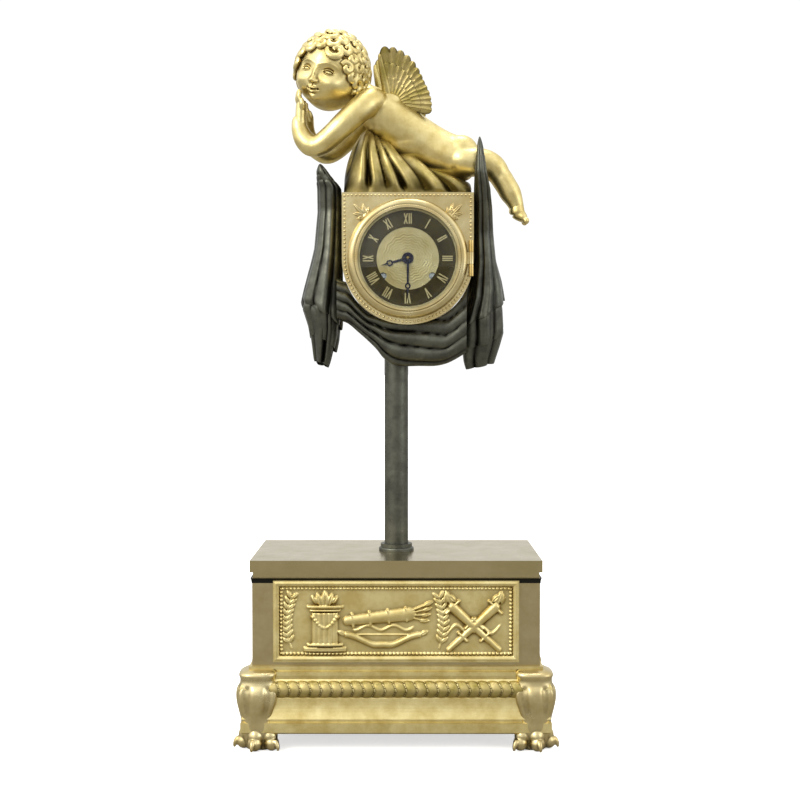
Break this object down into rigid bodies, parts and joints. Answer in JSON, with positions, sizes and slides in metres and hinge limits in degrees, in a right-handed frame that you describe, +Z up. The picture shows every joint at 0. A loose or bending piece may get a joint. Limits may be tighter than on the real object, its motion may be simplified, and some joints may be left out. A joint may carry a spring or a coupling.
{
  "type": "figural mantel clock",
  "caption": "Mantel clock: a winged child lies over a horseshoe case hung with bronze cloth, on a slender column above a plinth with a relief panel and paw feet.",
  "frame": {"origin": "on the surface the clock stands on, under the middle of the plinth", "axes": "+Z up, -Y towards the viewer of the dial, +X to the viewer's right"},
  "size_m": [0.222, 0.13, 0.4988],
  "materials": {
    "gilt_matte": "fire-gilt bronze, matt",
    "gilt_burnished": "fire-gilt bronze, burnished",
    "gilt_toned": "fire-gilt bronze, matt, darkened with age",
    "dark_bronze": "patinated bronze, near black",
    "plinth_bronze": "patinated bronze, olive brown",
    "ring_bronze": "patinated bronze, dark olive",
    "top_bronze": "patinated bronze, brown, polished",
    "movement_brass": "grained and lacquered",
    "polished_steel": "polished",
    "bell_metal": "turned",
    "blued_steel": "heat blued",
    "crystal": "clear, domed"
  },
  "bodies": {
    "clock": {"plinth_body": "plinth_bronze", "plinth_top": "top_bronze", "relief_panel": "gilt_matte", "base_moulding": "gilt_matte", "foot_front_left": "gilt_burnished", "foot_front_right": "gilt_burnished", "foot_back_left": "gilt_burnished", "foot_back_right": "gilt_burnished", "column": "dark_bronze", "column_collar": "dark_bronze", "tie_rod": "polished_steel", "tie_nut": "polished_steel", "case_saddle": "dark_bronze", "case_shell": "gilt_matte", "front_plate": "gilt_burnished", "back_ring": "gilt_matte", "movement_straps": "movement_brass", "door_hinge_lugs": "movement_brass", "dial_plate": "gilt_burnished", "chapter_ring": "ring_bronze", "hour_numerals": "gilt_burnished", "front_movement_plate": "movement_brass", "back_movement_plate": "movement_brass", "plate_pillars": "movement_brass", "mounting_posts": "movement_brass", "bell": "bell_metal", "bell_stand": "movement_brass", "suspension_cock": "movement_brass", "drape_top": "gilt_toned", "drape_left": "dark_bronze", "drape_right": "dark_bronze", "drape_swag": "dark_bronze", "putto_body": "gilt_matte", "putto_head": "gilt_matte", "putto_near_arm": "gilt_matte", "putto_far_arm": "gilt_matte", "putto_near_wing": "gilt_toned", "putto_far_wing": "gilt_toned"},
    "front_door": {"front_bezel": "gilt_burnished", "bezel_glass": "crystal"},
    "rear_door": {"back_door": "gilt_matte"},
    "minute_arbor": {"centre_wheel": "movement_brass", "minute_hand": "blued_steel"},
    "hour_pipe": {"hour_wheel": "movement_brass", "hour_hand": "blued_steel"},
    "motion_wheel": {"minute_wheel": "movement_brass"},
    "going_barrel": {"going_barrel": "movement_brass"},
    "intermediate_wheel": {"intermediate_wheel": "movement_brass"},
    "third_wheel": {"third_wheel": "movement_brass"},
    "escape_wheel": {"escape_wheel": "movement_brass"},
    "strike_barrel": {"strike_barrel": "movement_brass"},
    "strike_wheel": {"strike_wheel": "movement_brass"},
    "pin_wheel": {"pin_wheel": "movement_brass"},
    "fly": {"fly": "movement_brass"},
    "hammer": {"hammer": "polished_steel"},
    "going_winding_arbor": {"going_winding_arbor": "polished_steel"},
    "strike_winding_arbor": {"strike_winding_arbor": "polished_steel"},
    "anchor": {"anchor": "polished_steel"},
    "pendulum": {"pendulum_rod": "polished_steel", "pendulum_bob": "movement_brass"}
  },
  "joints": [
    {"name": "front_door_hinge", "type": "hinge", "parent": "clock", "child": "front_door", "pos_m": [0.0516, -0.0349, 0.3353], "axis": [0, 0, 1], "range_deg": [0, 100]},
    {"name": "back_door_hinge", "type": "hinge", "parent": "clock", "child": "rear_door", "pos_m": [-0.0356, 0.0349, 0.3353], "axis": [0, 0, 1], "range_deg": [0, 100]},
    {"name": "minute_arbor_turn", "type": "hinge", "parent": "clock", "child": "minute_arbor", "pos_m": [0.008, 0, 0.3353], "axis": [0, 1, 0], "continuous": true},
    {"name": "hour_pipe_turn", "type": "hinge", "parent": "clock", "child": "hour_pipe", "pos_m": [0.008, 0, 0.3353], "axis": [0, 1, 0], "continuous": true},
    {"name": "motion_wheel_turn", "type": "hinge", "parent": "clock", "child": "motion_wheel", "pos_m": [0.013, 0, 0.34396], "axis": [0, 1, 0], "continuous": true},
    {"name": "going_barrel_turn", "type": "hinge", "parent": "clock", "child": "going_barrel", "pos_m": [0.025, 0, 0.3233], "axis": [0, 1, 0], "continuous": true},
    {"name": "intermediate_turn", "type": "hinge", "parent": "clock", "child": "intermediate_wheel", "pos_m": [0.02544, 0, 0.34196], "axis": [0, 1, 0], "continuous": true},
    {"name": "third_wheel_turn", "type": "hinge", "parent": "clock", "child": "third_wheel", "pos_m": [-0.00243, 0, 0.3469], "axis": [0, 1, 0], "continuous": true},
    {"name": "escape_wheel_turn", "type": "hinge", "parent": "clock", "child": "escape_wheel", "pos_m": [0.008, 0, 0.3533], "axis": [0, 1, 0], "continuous": true},
    {"name": "pin_wheel_turn", "type": "hinge", "parent": "clock", "child": "pin_wheel", "pos_m": [-0.0134, 0, 0.35356], "axis": [0, 1, 0], "continuous": true},
    {"name": "strike_wheel_turn", "type": "hinge", "parent": "clock", "child": "strike_wheel", "pos_m": [-0.01383, 0, 0.34133], "axis": [0, 1, 0], "continuous": true},
    {"name": "strike_barrel_turn", "type": "hinge", "parent": "clock", "child": "strike_barrel", "pos_m": [-0.009, 0, 0.3233], "axis": [0, 1, 0], "continuous": true},
    {"name": "fly_turn", "type": "hinge", "parent": "clock", "child": "fly", "pos_m": [-0.00893, 0, 0.36197], "axis": [0, 1, 0], "continuous": true},
    {"name": "going_winding_turn", "type": "hinge", "parent": "clock", "child": "going_winding_arbor", "pos_m": [0.025, 0, 0.3233], "axis": [0, 1, 0], "continuous": true},
    {"name": "strike_winding_turn", "type": "hinge", "parent": "clock", "child": "strike_winding_arbor", "pos_m": [-0.009, 0, 0.3233], "axis": [0, 1, 0], "continuous": true},
    {"name": "hammer_lift", "type": "hinge", "parent": "clock", "child": "hammer", "pos_m": [-0.0235, 0, 0.3528], "axis": [0, 1, 0], "range_deg": [0, 12], "stiffness_Nm_per_rad": 0.004, "springref_deg": -11.46},
    {"name": "pendulum_swing", "type": "hinge", "parent": "clock", "child": "pendulum", "pos_m": [0.008, 0, 0.366], "axis": [0, 1, 0], "range_deg": [-4, 4]},
    {"name": "anchor_rock", "type": "hinge", "parent": "clock", "child": "anchor", "pos_m": [0.008, 0, 0.366], "axis": [0, 1, 0], "range_deg": [-4, 4]}
  ],
  "couplings": [
    {"joint": "hour_pipe_turn", "follows": "minute_arbor_turn", "ratio": 0.083333},
    {"joint": "motion_wheel_turn", "follows": "minute_arbor_turn", "ratio": -0.33333},
    {"joint": "intermediate_turn", "follows": "minute_arbor_turn", "ratio": -0.16667},
    {"joint": "going_barrel_turn", "follows": "minute_arbor_turn", "ratio": 0.027778},
    {"joint": "third_wheel_turn", "follows": "minute_arbor_turn", "ratio": -12},
    {"joint": "escape_wheel_turn", "follows": "minute_arbor_turn", "ratio": 132},
    {"joint": "strike_wheel_turn", "follows": "pin_wheel_turn", "ratio": -0.13333},
    {"joint": "strike_barrel_turn", "follows": "pin_wheel_turn", "ratio": 0.022222},
    {"joint": "fly_turn", "follows": "pin_wheel_turn", "ratio": -6},
    {"joint": "anchor_rock", "follows": "pendulum_swing", "ratio": 1}
  ]
}
